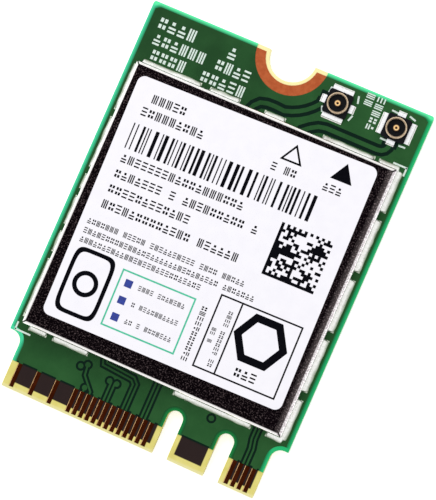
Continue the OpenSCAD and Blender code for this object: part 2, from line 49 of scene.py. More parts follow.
# Studio: a white table under a plain white sky, which shows white to the eye and in metal and
# glass alike, and lights the card a little softer. One soft lamp stands at the upper left.
lens_place = Vector((18.369, -2.706, 135.669)) * MM
lens_forward = Vector((-0.1307, 0.0213, -0.9912)).normalized()
lens_up = Vector((-0.39572, 0.91556, 0.07188)).normalized()
lens_mm = 136.8
sensor_mm = 36
nearest_seen = 0.005

camera_data = bpy.data.cameras.new("camera")
camera_data.lens = lens_mm
camera_data.sensor_width = sensor_mm
camera_data.clip_start = nearest_seen
camera = bpy.data.objects.new("camera", camera_data)
lens_side = lens_forward.cross(lens_up).normalized()
turn = Matrix((lens_side, lens_side.cross(lens_forward), -lens_forward)).transposed()
camera.matrix_world = Matrix.Translation(lens_place) @ turn.to_4x4()
bpy.context.scene.collection.objects.link(camera)
bpy.context.scene.camera = camera
bpy.context.scene.view_settings.view_transform = "Standard"


def connect(tree, value, socket):
    """Links an output to a socket, or sets the socket to a number or colour."""
    if isinstance(value, bpy.types.NodeSocket):
        tree.links.new(value, socket)
    else:
        socket.default_value = value


def maths(tree, operation, *inputs):
    node = tree.nodes.new("ShaderNodeMath")
    node.operation = operation
    for value, socket in zip(inputs, node.inputs):
        connect(tree, value, socket)
    return node.outputs[0]


def ramp(tree, value, low, high, at_low=0.0, at_high=1.0):
    """Maps a value from low..high to at_low..at_high, held at both ends."""
    node = tree.nodes.new("ShaderNodeMapRange")
    for reading, socket in zip((value, low, high, at_low, at_high), node.inputs):
        connect(tree, reading, socket)
    return node.outputs[0]


def shown(tree):
    """1 for what the eye sees straight, in metal or through glass, and 0 for light on a surface."""
    rays = tree.nodes.new("ShaderNodeLightPath").outputs
    mirrored = maths(tree, "MAXIMUM", rays["Is Glossy Ray"], rays["Is Transmission Ray"])
    return maths(tree, "MAXIMUM", rays["Is Camera Ray"], mirrored)


sky_light = 0.8
world = bpy.data.worlds.new("studio_sky")
bpy.context.scene.world = world
world.use_nodes = True
sky = world.node_tree
background = sky.nodes["Background"]
background.inputs["Color"].default_value = (1, 1, 1, 1)
sky.links.new(ramp(sky, shown(sky), 0.0, 1.0, sky_light, 1.0), background.inputs["Strength"])

lamp_data = bpy.data.lights.new("soft_lamp", "AREA")
lamp_data.shape = "DISK"
lamp_data.size = 0.3
lamp_data.energy = 0.3
lamp = bpy.data.objects.new("soft_lamp", lamp_data)
lamp.location = Vector((-0.16, 0.12, 0.2))
lamp.rotation_euler = (-lamp.location).to_track_quat("-Z", "Y").to_euler()
bpy.context.scene.collection.objects.link(lamp)


def srgb(red, green, blue):
    """A colour as a photo's 0 to 255 values, in linear light."""
    def linear(value):
        share = value / 255
        return share / 12.92 if share <= 0.04045 else ((share + 0.055) / 1.055) ** 2.4
    return (linear(red), linear(green), linear(blue), 1.0)


def blend(tree, share, first, second):
    """Colour that runs from first at share 0 to second at share 1."""
    node = tree.nodes.new("ShaderNodeMix")
    node.data_type = "RGBA"
    connect(tree, share, node.inputs["Factor"])
    connect(tree, first, node.inputs[6])
    connect(tree, second, node.inputs[7])
    return node.outputs[2]


def millimetres(tree):
    """The surface's own place in millimetres."""
    scale = tree.nodes.new("ShaderNodeVectorMath")
    scale.operation = "SCALE"
    tree.links.new(tree.nodes.new("ShaderNodeTexCoord").outputs["Object"], scale.inputs[0])
    scale.inputs["Scale"].default_value = 1 / MM
    return scale.outputs[0]


def grain(tree, place, grain_mm, detail=3.0):
    """Fractal noise from 0 to 1 with features of about grain_mm."""
    noise = tree.nodes.new("ShaderNodeTexNoise")
    noise.inputs["Scale"].default_value = 1 / grain_mm
    noise.inputs["Detail"].default_value = detail
    tree.links.new(place, noise.inputs["Vector"])
    return noise.outputs["Fac"]


class Finish:
    """A surface finish: two tones and two gloss levels over a grain, and a fine relief."""

    def __init__(self, name, dark, light, grain_mm, gloss, metal=0.0, relief_um=1.0, specular=0.5):
        self.material = bpy.data.materials.new(name)
        self.material.use_nodes = True
        self.tree = self.material.node_tree
        self.shader = self.tree.nodes["Principled BSDF"]
        self.place = millimetres(self.tree)
        self.noise = grain(self.tree, self.place, grain_mm)
        self.tone = blend(self.tree, ramp(self.tree, self.noise, 0.35, 0.65), dark, light)
        self.colour(self.tone)
        rough = ramp(self.tree, self.noise, 0.3, 0.7, gloss[0], gloss[1])
        self.tree.links.new(rough, self.shader.inputs["Roughness"])
        self.shader.inputs["Metallic"].default_value = metal
        self.shader.inputs["Specular IOR Level"].default_value = specular
        self.bump = self.tree.nodes.new("ShaderNodeBump")
        self.bump.inputs["Distance"].default_value = relief_um * 1e-6
        self.tree.links.new(self.noise, self.bump.inputs["Height"])
        self.tree.links.new(self.bump.outputs[0], self.shader.inputs["Normal"])

    def colour(self, output):
        self.tree.links.new(output, self.shader.inputs["Base Color"])

    def axes(self):
        split = self.tree.nodes.new("ShaderNodeSeparateXYZ")
        self.tree.links.new(self.place, split.inputs[0])
        return split.outputs


def dress(finish, *names):
    """Gives CAD nodes a finish."""
    for name in names:
        nodes[name].data.materials.clear()
        nodes[name].data.materials.append(finish.material)


def added_piece(name, mesh, finish):
    """Links a finished mesh as a piece that rides on the card."""
    mesh.materials.clear()
    mesh.materials.append(finish.material)
    piece = bpy.data.objects.new(name, mesh)
    bpy.context.scene.collection.objects.link(piece)
    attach(piece, "root")
    return piece


table_half = 0.4
table_drop = 2e-5
table_glow = 0.5
table_finish = Finish("table_top", srgb(247, 247, 248), srgb(251, 251, 252), 40, (0.85, 0.95))
table_mesh = bpy.data.meshes.new("table_top")
corners = [(-1, -1), (1, -1), (1, 1), (-1, 1)]
table_mesh.from_pydata([(x * table_half, y * table_half, -table_drop) for x, y in corners], [],
                       [(0, 1, 2, 3)])
table_mesh.materials.append(table_finish.material)
table = bpy.data.objects.new("table_top", table_mesh)
bpy.context.scene.collection.objects.link(table)
table_finish.shader.inputs["Emission Color"].default_value = (1, 1, 1, 1)
lift = maths(table_finish.tree, "MULTIPLY", shown(table_finish.tree), table_glow)
table_finish.tree.links.new(lift, table_finish.shader.inputs["Emission Strength"])


# Board: woven glass and resin, pressed in layers and routed to its outline with a half-round
# screw notch and two key notches. A dark inner copper plane shows through where the outer
# layers are bare: under and between the contacts and on the middle tab.
face_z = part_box("solder_mask_top")[1].z / MM
board_low, board_high = [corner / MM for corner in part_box("laminate")]
tongue_end = board_low.y
bare_l = 2
window_end = tongue_end + 0.58
window_over = 0.2
end_glow_run = 0.3
far_glow_run = (9, 11)
windows = [(-9.3, 1.68), (3.57, 5.68), (7.62, 9.55)]


def inside(tree, value, low, high, soft=0.03):
    """1 where a value lies between low and high, with a soft edge."""
    rise = ramp(tree, value, low - soft, low + soft)
    fall = ramp(tree, value, high - soft, high + soft, 1.0, 0.0)
    return maths(tree, "MULTIPLY", rise, fall)


laminate = Finish("glass_laminate", srgb(220, 208, 114), srgb(229, 219, 132), 0.9, (0.4, 0.6),
                  relief_um=1, specular=0.1)
tree = laminate.tree
x, y, z = laminate.axes()
dark_share = None
for low, high in windows:
    one = inside(tree, x, low, high)
    dark_share = one if dark_share is None else maths(tree, "MAXIMUM", dark_share, one)
height = inside(tree, y, window_end, tongue_end + bare_l + window_over)
dark_share = maths(tree, "MULTIPLY", dark_share, height)
plane_tone = blend(tree, laminate.noise, srgb(34, 22, 22), srgb(42, 29, 27))
# Painted glow: the tongue's cut end and the far end of the board are painted paler, as light coming
# through the board.
laminate_and_glow = blend(tree, ramp(tree, y, tongue_end, tongue_end + end_glow_run),
               srgb(248, 242, 186), laminate.tone)
laminate_and_glow = blend(tree, ramp(tree, y, *far_glow_run), laminate_and_glow, srgb(254, 246, 180))
# The cut sides show the pressed layers as faint lines, and light from inside pales them
layer_mm = 0.13
side_skin = 0.03
wave = maths(tree, "SINE", maths(tree, "MULTIPLY", z, 2 * math.pi / layer_mm))
layers = ramp(tree, wave, -1.0, 1.0, 0.0, 0.3)
from_side = maths(tree, "SUBTRACT", board_high.x, maths(tree, "ABSOLUTE", x))
from_far = maths(tree, "SUBTRACT", board_high.y, y)
at_side = ramp(tree, maths(tree, "MINIMUM", from_side, from_far), side_skin, 0.0)
cut_side = blend(tree, layers, srgb(236, 248, 228), srgb(216, 228, 196))
laminate_and_glow = blend(tree, at_side, laminate_and_glow, cut_side)
laminate.colour(blend(tree, dark_share, laminate_and_glow, plane_tone))
dress(laminate, "laminate")


# Copper: the etched ground layer and traces under the green film. A ring around the screw notch
# is bare, and all else that the film leaves open is tinned.
def distance(tree, across, along):
    squares = maths(tree, "ADD", maths(tree, "MULTIPLY", across, across),
                    maths(tree, "MULTIPLY", along, along))
    return maths(tree, "SQRT", squares)


copper = Finish("bare_copper", srgb(168, 78, 36), srgb(184, 94, 50), 0.3, (0.45, 0.6), 0.3, 2, 0.2)
tree = copper.tree
x, y, z = copper.axes()
ring_outer = 3.2
from_notch = distance(tree, x, maths(tree, "SUBTRACT", y, board_high.y))
tinned_share = ramp(tree, from_notch, ring_outer, ring_outer + 0.05)
copper.colour(blend(tree, tinned_share, copper.tone, srgb(214, 224, 206)))
dress(copper, "ground_copper_top", "ground_copper_bottom", "antenna_traces", "signal_traces")


# Solder mask: a green film cast over both faces. It is lighter over copper and nearly black
# green where it dips into the channels beside a trace. Along the outline there is no copper at
# all, so light comes through the board and the film glows mint.
over_copper_z = face_z - 0.006
copper_edge = 0.3
key_w = 1.2
key_d = 3.5
key_places = (2.625, 6.625)
near_wall_y = -10.3
side_x = board_high.x
shoulder_y = tongue_end + 4
tongue_half = 19.85 / 2


def past(tree, value, limit, soft=0.02):
    return ramp(tree, value, limit - soft, limit + soft)


def rounded_depth(tree, across, along, corner):
    """How far a place lies inside a corner of the given radius, from the radius at its middle."""
    across = maths(tree, "MAXIMUM", across, 0.0)
    along = maths(tree, "MAXIMUM", along, 0.0)
    return maths(tree, "SUBTRACT", corner, distance(tree, across, along))


mask = Finish("solder_mask", srgb(38, 84, 43), srgb(43, 90, 47), 1.2, (0.3, 0.36), relief_um=0.5,
              specular=0.06)
tree = mask.tree
x, y, z = mask.axes()
width = maths(tree, "ABSOLUTE", x)
raised = maths(tree, "MAXIMUM", past(tree, z, over_copper_z, 0.002),
               maths(tree, "SUBTRACT", 1.0, past(tree, z, 0.006, 0.002)))
corner = 0.7
glow_in, glow_out = 0.34, 0.06
outline = rounded_depth(tree, maths(tree, "SUBTRACT", width, side_x - corner),
                        maths(tree, "SUBTRACT", y, board_high.y - corner), corner)
on_tongue = maths(tree, "SUBTRACT", 1.0, past(tree, y, shoulder_y + copper_edge))
tongue_side = maths(tree, "SUBTRACT", tongue_half, width)
beside = maths(tree, "ADD", tongue_side, maths(tree, "MULTIPLY", 9.0,
                                               maths(tree, "SUBTRACT", 1.0, on_tongue)))
outline = maths(tree, "MINIMUM", outline, maths(tree, "MAXIMUM", beside, 0.0))
glow = ramp(tree, outline, glow_in, glow_out)
border = ramp(tree, outline, copper_edge + 0.08, copper_edge + 0.05)
lit = blend(tree, ramp(tree, x, -side_x, side_x), srgb(74, 216, 162), srgb(40, 190, 116))
lit = blend(tree, past(tree, y, board_high.y - copper_edge, 0.1), lit, srgb(98, 244, 172))
rim = blend(tree, glow, srgb(20, 104, 58), lit)
for key_x in key_places:
    across = maths(tree, "SUBTRACT", x, key_x)
    above = maths(tree, "MAXIMUM", maths(tree, "SUBTRACT", y, tongue_end + key_d - key_w / 2), 0.0)
    reach = distance(tree, across, above)
    key_rim = ramp(tree, reach, key_w / 2 + copper_edge, key_w / 2)
    key_border = ramp(tree, reach, key_w / 2 + copper_edge + 0.05, key_w / 2 + copper_edge + 0.02)
    rim = blend(tree, key_border, rim, blend(tree, key_rim, srgb(26, 74, 38), srgb(22, 136, 66)))
    border = maths(tree, "MAXIMUM", border, key_border)
thin = blend(tree, border, srgb(2, 30, 20), rim)
# Mottled darker patches over the film, and painted shade: beside the can's near foot the film is
# painted darker, more so to the left.
residue_and_shade = ramp(tree, grain(tree, mask.place, 3.5, 2.0), 0.38, 0.62, 0.0, 0.45)
foot_shade = ramp(tree, maths(tree, "SUBTRACT", y, near_wall_y), -2.2, -0.5, 0.0, 0.8)
foot_shade = maths(tree, "MULTIPLY", foot_shade, ramp(tree, x, 4.0, -2.0, 0.0, 0.7))
film = blend(tree, maths(tree, "MULTIPLY", maths(tree, "ADD", residue_and_shade, 0.3), foot_shade), mask.tone,
             srgb(12, 40, 18))
film = blend(tree, maths(tree, "MULTIPLY", residue_and_shade, 0.22), film, srgb(28, 62, 32))
mask.colour(blend(tree, raised, thin, film))
dress(mask, "solder_mask_top", "solder_mask_bottom")


# Edge contacts: copper pads plated with hard gold over nickel, with their open edges rounded off.
# Their faces are painted dark, as a painted dark reflection, and their left edges carry a painted
# highlight.
pin_pitch = 0.5
pin_w = 0.35
pin_end = 0.2
pin_rows = {
    "edge_contacts_top": ([1, 3, 5, 7] + list(range(33, 58, 2)) + [63, 69, 75]),
    "edge_contacts_bottom": ([2, 4, 6, 16, 18, 20, 22] + list(range(32, 75, 2))),
}
pin_round = 0.05
left_facing = -0.2


def pin_x(number):
    return (38 - number) * pin_pitch / 2


def contact(work, x, low, high, start, end, up):
    """Adds one pad from start to end, with its open edges rounded off; up is 1 on the top side.

    Each pad is bevelled in a mesh of its own, because bevels one after another in a shared mesh
    leave its faces in an order that changes from run to run.
    """
    pad = bmesh.new()
    made = bmesh.ops.create_cube(pad, size=1)["verts"]
    size = Vector((pin_w, end - start, high - low)) * MM
    middle = Vector((x, (start + end) / 2, (low + high) / 2)) * MM
    bmesh.ops.scale(pad, vec=size, verts=made)
    bmesh.ops.translate(pad, vec=middle, verts=made)
    open_side = [v for v in made if (v.co.z - middle.z) * up > 0]
    edges = [e for e in pad.edges if all(v in open_side for v in e.verts)]
    bmesh.ops.bevel(pad, geom=edges, offset=pin_round * MM, segments=3, profile=0.5,
                    affect="EDGES")
    mesh = bpy.data.meshes.new("pad")
    pad.to_mesh(mesh)
    pad.free()
    work.from_mesh(mesh)
    bpy.data.meshes.remove(mesh)


# The plated faces are painted dark as a dark reflection; the left-facing faces take a painted
# highlight.
gold = Finish("hard_gold_painted_dark", srgb(54, 18, 4), srgb(66, 25, 9), 0.6, (0.14, 0.2), 1.0, 0.1)
painted_gold_highlight = Finish("gold_edge_painted_highlight", srgb(206, 158, 98), srgb(236, 196, 142), 0.4, (0.25, 0.4),
                  0.7)
for name, numbers in pin_rows.items():
    low, high = [corner.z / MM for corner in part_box(name)]
    work = bmesh.new()
    for number in numbers:
        contact(work, pin_x(number), low, high, tongue_end + pin_end, tongue_end + bare_l,
                1 if name.endswith("top") else -1)
    mesh = bpy.data.meshes.new(name + "_plated")
    work.to_mesh(mesh)
    work.free()
    plated = added_piece(name + "_plated", mesh, gold)
    mesh.materials.append(painted_gold_highlight.material)
    for face in mesh.polygons:
        face.material_index = 1 if face.normal.x < left_facing else 0
    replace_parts(plated, name)


# Shield can: one piece of tinned sheet, folded down on four sides and soldered at its foot. The
# sheet has a fine speckled grain from rolling. Its top is painted nearly black, as a painted dark
# reflection, with painted glints in the grain and a painted highlight along the right.
can_top_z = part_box("shield_can")[1].z / MM
can = Finish("tinned_sheet", srgb(236, 232, 230), srgb(250, 248, 246), 0.1, (0.2, 0.3), 1.0, 1.5)
tree = can.tree
x, y, z = can.axes()
can_low, can_high = [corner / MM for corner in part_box("shield_can")]
highlight_from, highlight_to = can_high.x - 0.65, can_high.x - 0.25
right_wall = can_high.x - 0.32
speck = ramp(tree, grain(tree, can.place, 0.1, 3.0), 0.54, 0.8)
flat = past(tree, z, can_top_z - 0.012, 0.008)
# Painted reflection: the flat top is nearly black, and its lighter specks are painted glints.
top_painted_dark = blend(tree, speck, srgb(9, 5, 8), srgb(100, 86, 88))
# Painted highlight: the top pales towards the right fold.
right_highlight = ramp(tree, x, highlight_from, highlight_to, 0.0, 0.34)
top_painted_dark = blend(tree, maths(tree, "MULTIPLY", right_highlight, ramp(tree, speck, 0.0, 0.5, 0.35, 1.0)), top_painted_dark,
               srgb(206, 190, 190))
streaks = ramp(tree, grain(tree, can.place, 0.12, 2.0), 0.4, 0.62)
wall_tone = blend(tree, streaks, srgb(196, 186, 190), srgb(250, 246, 246))
folds = blend(tree, past(tree, x, right_wall, 0.04), can.tone, wall_tone)
can.colour(blend(tree, flat, folds, top_painted_dark))
smooth = ramp(tree, can.noise, 0.3, 0.7, 0.18, 0.26)
dull = maths(tree, "MULTIPLY", maths(tree, "MULTIPLY", speck, flat), 0.26)
rough = maths(tree, "ADD", smooth, dull)
tree.links.new(rough, can.shader.inputs["Roughness"])
dress(can, "shield_can")


# Solder: bright tin alloy, melted in an oven. It is drawn up the can's foot in uneven beads with
# rounded ends; the gaps are where traces pass or a slot in the foot stays dry.
solder = Finish("solder", srgb(238, 238, 232), srgb(255, 255, 253), 0.16, (0.25, 0.4), 0.75, 8)
dress(solder, "socket_solder")
copper_top_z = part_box("shield_solder")[0].z / MM
foot_solder = Finish("foot_solder", srgb(238, 238, 232), srgb(255, 255, 253), 0.16, (0.25, 0.4),
                     0.75, 8)
x, y, z = foot_solder.axes()
# The bead's low skirt is painted dim green-grey: painted shade with a painted reflection of the
# green film.
skirt_reflection = ramp(foot_solder.tree, z, copper_top_z + 0.03, copper_top_z + 0.15)
foot_solder.colour(blend(foot_solder.tree, skirt_reflection, srgb(128, 146, 116), foot_solder.tone))
bead_w = 0.4
bead_h = 0.3
bead_back = 0.1
bead_step = 0.12
end_round = 0.16
# Each side as the gaps along it, how far its beads stay short of the can's corners, the wall's own
# place, and whether it runs along y
bead_sides = [
    ([(-6.91, 0.6), (-2.28, 0.6), (2.36, 0.6), (6.99, 0.6)], (-0.2, -0.1), can_high.x, True),
    ([(-4.95, 0.55), (-2.76, 0.55), (0.04, 0.55), (1.75, 0.55), (6.28, 0.55)], (0.6, 0.1),
     can_low.x, True),
    ([(-4.99, 0.66), (-1.31, 1.9), (2.76, 2.9), (8.42, 0.3)], (0.1, -0.1), can_high.y, False),
    ([(-8.08, 0.46), (-1.62, 6.76), (8.41, 1.16)], (0.4, -0.2), can_low.y, False),
]


def waver(chance):
    """A smooth uneven line between about -1 and 1."""
    waves = [(chance.uniform(0.8, 6.5), chance.uniform(0, 6.28)) for _ in range(4)]
    return lambda t: sum(math.sin(t * pace + phase) for pace, phase in waves) / 2.6


def bead(work, start, end, put, chance):
    """Solder from start to end along a wall; put turns along, out and up into the card's place."""
    broad, tall = waver(chance), waver(chance)
    steps = max(3, int((end - start) / bead_step))
    rings = []
    for i in range(steps + 1):
        at = start + (end - start) * i / steps
        near_end = max(0.0, min(at - start, end - at) / end_round)
        full = 1.0 if near_end >= 1 else math.sqrt(1 - (1 - near_end) ** 2) * 0.75 + 0.25
        w = bead_w * (0.99 + 0.08 * broad(at)) * full
        h = bead_h * (0.92 + 0.2 * tall(at)) * full
        section = [(-bead_back, 0), (w, 0), (w * 0.95, h * 0.12), (w * 0.78, h * 0.28),
                   (w * 0.5, h * 0.52), (w * 0.22, h * 0.8), (0, h), (-bead_back, h * 1.1)]
        rings.append([work.verts.new(Vector(put(at, out, up)) * MM) for out, up in section])
    for low, high in zip(rings, rings[1:]):
        for k in range(len(low)):
            j = (k + 1) % len(low)
            work.faces.new((low[k], low[j], high[j], high[k]))
    work.faces.new(rings[0])
    work.faces.new(list(reversed(rings[-1])))


work = bmesh.new()
chance = random.Random(7)
for gaps, (short_low, short_high), wall, upright in bead_sides:
    outward_sign = 1 if wall > 0 else -1
    low = (can_low.y if upright else can_low.x) + short_low
    high = (can_high.y if upright else can_high.x) - short_high

    def put(at, out, up):
        away = wall + outward_sign * out
        return (away, at, copper_top_z + up) if upright else (at, away, copper_top_z + up)

    begin = low
    for middle, width in gaps + [(high + 1, 2)]:
        if middle - width / 2 - begin > 0.1:
            bead(work, begin, middle - width / 2, put, chance)
        begin = max(begin, middle + width / 2)
bmesh.ops.recalc_face_normals(work, faces=work.faces)
mesh = bpy.data.meshes.new("foot_beads")
work.to_mesh(mesh)
work.free()
mesh.shade_smooth()
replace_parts(added_piece("foot_beads", mesh, foot_solder), "shield_solder")


# Label: white polyester film with a matt print coat, stuck on a little askew.
film = Finish("label_film", srgb(247, 245, 252), srgb(250, 248, 254), 0.8, (0.45, 0.55),
              relief_um=0.5)
dress(film, "label")

label_turn = math.radians(1.2)
label_centre = Vector((-0.06, 0.48))
label_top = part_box("label")[1].z / MM
ink_sunk = 0.003
ink_proud = 0.004


def on_label(x, y):
    """A place on the label, from its own middle and along its own sides."""
    turned = Matrix.Rotation(label_turn, 2) @ Vector((x, y))
    return label_centre + turned


def laid(shape, x=0, y=0):
    """A shape's points, set down on the label with its own middle at a place."""
    return [on_label(*(Vector(point) + Vector((x, y)))) for point in shape]


def slab(work, outline, top):
    """A film of ink with the given outline, a hair proud of the surface at height top."""
    rings = []
    for height in (top - ink_sunk, top + ink_proud):
        rings.append([work.verts.new((p[0] * MM, p[1] * MM, height * MM)) for p in outline])
    low, high = rings
    work.faces.new(list(reversed(low)))
    work.faces.new(high)
    for i in range(len(outline)):
        j = (i + 1) % len(outline)
        work.faces.new((low[i], low[j], high[j], high[i]))


def loop_of_ink(work, outer, inner, top):
    """A closed band of ink between two outlines with as many points each."""
    count = len(outer)
    for i in range(count):
        j = (i + 1) % count
        slab(work, [outer[i], outer[j], inner[j], inner[i]], top)


def rectangle(x0, y0, x1, y1):
    return [(x0, y0), (x1, y0), (x1, y1), (x0, y1)]


def inset(box, by):
    """A rectangle with its sides moved in by a distance."""
    return rectangle(box[0][0] + by, box[0][1] + by, box[2][0] - by, box[2][1] - by)


def ring_of(rx, ry, power=2.0, count=72):
    """A closed rounded outline; power 2 is an ellipse and more makes it squarer."""
    points = []
    for i in range(count):
        angle = 2 * math.pi * i / count
        across, along = math.cos(angle), math.sin(angle)
        points.append((math.copysign(abs(across) ** (2 / power), across) * rx,
                       math.copysign(abs(along) ** (2 / power), along) * ry))
    return points


def mesh_of(work, name):
    """The mesh of a finished piece, with its faces outward."""
    bmesh.ops.recalc_face_normals(work, faces=work.faces)
    mesh = bpy.data.meshes.new(name)
    work.to_mesh(mesh)
    work.free()
    return mesh


# Print rows: plain hatched blocks of four kinds, of bars and squares that are no letters, in rows
# of the place, height and density of printed lines. One node tree makes them all.
def print_row_tree():
    tree = bpy.data.node_groups.new("print_row", "GeometryNodeTree")
    face = tree.interface
    for name, kind in (("Length", "Float"), ("Height", "Float"), ("Thickness", "Float"),
                       ("Seed", "Int"), ("Ink", "Material")):
        face.new_socket(name, in_out="INPUT", socket_type="NodeSocket" + kind)
    face.new_socket("Row", in_out="OUTPUT", socket_type="NodeSocketGeometry")
    given = tree.nodes.new("NodeGroupInput").outputs
    advance = maths(tree, "MULTIPLY", given["Height"], 0.76)
    offset = tree.nodes.new("ShaderNodeCombineXYZ")
    tree.links.new(advance, offset.inputs["X"])
    line = tree.nodes.new("GeometryNodeMeshLine")
    tree.links.new(maths(tree, "FLOOR", maths(tree, "DIVIDE", given["Length"], advance)),
                   line.inputs["Count"])
    tree.links.new(offset.outputs[0], line.inputs["Offset"])

    gap = tree.nodes.new("FunctionNodeRandomValue")
    gap.data_type = "BOOLEAN"
    gap.inputs["Probability"].default_value = 0.09
    tree.links.new(given["Seed"], gap.inputs["Seed"])
    kept = tree.nodes.new("GeometryNodeDeleteGeometry")
    tree.links.new(line.outputs["Mesh"], kept.inputs["Geometry"])
    tree.links.new(gap.outputs[3], kept.inputs["Selection"])

    # Bars of one block as width, height and middle, for a row of height 1
    kinds = [
        [(0.56, 0.15, 0.28, 0.36), (0.56, 0.15, 0.28, 0), (0.56, 0.15, 0.28, -0.36)],
        [(0.13, 0.9, 0.07, 0), (0.13, 0.9, 0.28, 0), (0.13, 0.9, 0.49, 0)],
        [(0.22, 0.3, 0.12, 0.24), (0.22, 0.3, 0.44, 0.24), (0.22, 0.3, 0.12, -0.24),
         (0.22, 0.3, 0.44, -0.24)],
        [(0.56, 0.15, 0.28, -0.1), (0.56, 0.15, 0.28, -0.38), (0.24, 0.24, 0.28, 0.26)],
    ]
    joined = tree.nodes.new("GeometryNodeJoinGeometry")
    for kind in reversed(kinds):
        block = tree.nodes.new("GeometryNodeJoinGeometry")
        for width, height, x, y in kind:
            cube = tree.nodes.new("GeometryNodeMeshCube")
            cube.inputs["Size"].default_value = (width, height, 1)
            move = tree.nodes.new("GeometryNodeTransform")
            move.inputs["Translation"].default_value = (x, y, 0)
            tree.links.new(cube.outputs["Mesh"], move.inputs["Geometry"])
            tree.links.new(move.outputs[0], block.inputs[0])
        as_one = tree.nodes.new("GeometryNodeGeometryToInstance")
        tree.links.new(block.outputs[0], as_one.inputs[0])
        tree.links.new(as_one.outputs[0], joined.inputs[0])

    pick = tree.nodes.new("FunctionNodeRandomValue")
    pick.data_type = "INT"
    pick.inputs["Min"].default_value = 0
    pick.inputs["Max"].default_value = len(kinds) - 1
    tree.links.new(maths(tree, "ADD", given["Seed"], 50), pick.inputs["Seed"])
    size = tree.nodes.new("ShaderNodeCombineXYZ")
    tree.links.new(given["Height"], size.inputs["X"])
    tree.links.new(given["Height"], size.inputs["Y"])
    tree.links.new(given["Thickness"], size.inputs["Z"])
    place = tree.nodes.new("GeometryNodeInstanceOnPoints")
    place.inputs["Pick Instance"].default_value = True
    tree.links.new(kept.outputs[0], place.inputs["Points"])
    tree.links.new(joined.outputs[0], place.inputs["Instance"])
    tree.links.new(pick.outputs[2], place.inputs["Instance Index"])
    tree.links.new(size.outputs[0], place.inputs["Scale"])
    real = tree.nodes.new("GeometryNodeRealizeInstances")
    tree.links.new(place.outputs[0], real.inputs[0])
    inked = tree.nodes.new("GeometryNodeSetMaterial")
    tree.links.new(real.outputs[0], inked.inputs["Geometry"])
    tree.links.new(given["Ink"], inked.inputs["Material"])
    tree.links.new(inked.outputs[0], tree.nodes.new("NodeGroupOutput").inputs[0])
    return tree


row_tree = print_row_tree()


def grown(tree, values):
    """The plain mesh that a node tree makes from named values."""
    maker = bpy.data.objects.new("maker", bpy.data.meshes.new("maker"))
    bpy.context.scene.collection.objects.link(maker)
    modifier = maker.modifiers.new("maker", "NODES")
    modifier.node_group = tree
    for item in tree.interface.items_tree:
        if item.in_out == "INPUT" and item.name in values:
            modifier[item.identifier] = values[item.name]
    seen = bpy.context.evaluated_depsgraph_get()
    mesh = bpy.data.meshes.new_from_object(maker.evaluated_get(seen))
    bpy.data.objects.remove(maker)
    return mesh


def add_row(work, ink, start, end, height, seed, top, put):
    """One row of blocks from start to end; put turns a row's own place into the card's."""
    run = Vector(end) - Vector(start)
    mesh = grown(row_tree, {"Length": run.length, "Height": height, "Seed": seed,
                            "Thickness": ink_sunk + ink_proud, "Ink": ink.material})
    angle = math.atan2(run.y, run.x)
    turned = Matrix.Rotation(angle, 2)
    middle = top + (ink_proud - ink_sunk) / 2
    for vertex in mesh.vertices:
        x, y = put(*(turned @ vertex.co.xy + Vector(start)))
        vertex.co = Vector((x, y, middle + vertex.co.z)) * MM
    work.from_mesh(mesh)
    bpy.data.meshes.remove(mesh)


ink = Finish("label_ink", srgb(0, 0, 5), srgb(8, 8, 15), 0.15, (0.6, 0.8), specular=0.04)
# Rows as left end, right end and height, from the label's middle
rows = [
    ((-7.7, 7.9), (-4.85, 7.9), 0.72), ((-8.1, 6.82), (-2.7, 6.82), 0.72),
    ((2.04, 6.67), (4.4, 6.67), 0.66), ((6.0, 6.69), (8.0, 6.69), 0.66),
    ((-8.15, 3.18), (1.9, 3.18), 0.7), ((-8.15, 1.99), (3.2, 1.99), 0.7),
    ((-8.15, 0.84), (-1.25, 0.84), 0.7), ((-8.17, -0.36), (2.55, -0.36), 0.7),
    ((-8.67, -1.87), (4.0, -1.87), 0.46), ((-8.67, -2.6), (4.65, -2.6), 0.46),
    ((-8.67, -3.29), (1.1, -3.29), 0.46),
    ((5.22, -7.8), (7.0, -7.8), 0.76),
    ((1.54, -8.49), (1.54, -4.15), 0.5), ((2.73, -6.6), (2.73, -5.25), 0.38),
    ((3.4, -8.2), (3.4, -3.75), 0.4),
]
work = bmesh.new()
for seed, (start, end, height) in enumerate(rows):
    add_row(work, ink, start, end, height, seed, label_top, on_label)
added_piece("label_rows", mesh_of(work, "label_rows"), ink)


# Codes on the label: a row of bars and a square of cells. Both are made by a fixed seed and
# hold no data.
bar_left, bar_right = -8.25, 5.95
bar_low, bar_high = 3.9, 5.84
bar_unit = 0.108
work = bmesh.new()
chance = random.Random(4)
at = bar_left
while at < bar_right:
    width = bar_unit * chance.choice((1, 1, 2, 2, 3))
    right = min(at + width * 0.82, bar_right)
    slab(work, laid(rectangle(at, bar_low, right, bar_high)), label_top)
    at += width + bar_unit * chance.choice((1, 1, 2, 3))
added_piece("label_bars", mesh_of(work, "label_bars"), ink)

cell_low = Vector((4.31, -0.7))
cells = 18
cell = 3.94 / cells
work = bmesh.new()
chance = random.Random(11)
for i in range(cells):
    for j in range(cells):
        border = i == 0 or j == 0
        dotted = (i == cells - 1 and j % 2 == 0) or (j == cells - 1 and i % 2 == 0)
        within = i < cells - 1 and j < cells - 1 and chance.random() < 0.5
        if border or dotted or within:
            x, y = cell_low + Vector((i, j)) * cell
            slab(work, laid(rectangle(x, y, x + cell, y + cell)), label_top)
added_piece("label_cells", mesh_of(work, "label_cells"), ink)


# Marks on the label: an open and a solid triangle that tell the two sockets apart, a framed
# box, a hexagon and a rounded tile with a ring.
def shrunk(triangle, by):
    """A triangle with its sides moved in by a distance."""
    a, b, c = [Vector(point) for point in triangle]
    sides = [(b - c).length, (c - a).length, (a - b).length]
    middle = (a * sides[0] + b * sides[1] + c * sides[2]) / sum(sides)
    area = abs((b - a).cross(c - a)) / 2
    share = 1 - by * sum(sides) / (2 * area)
    return [middle + (point - middle) * share for point in (a, b, c)]


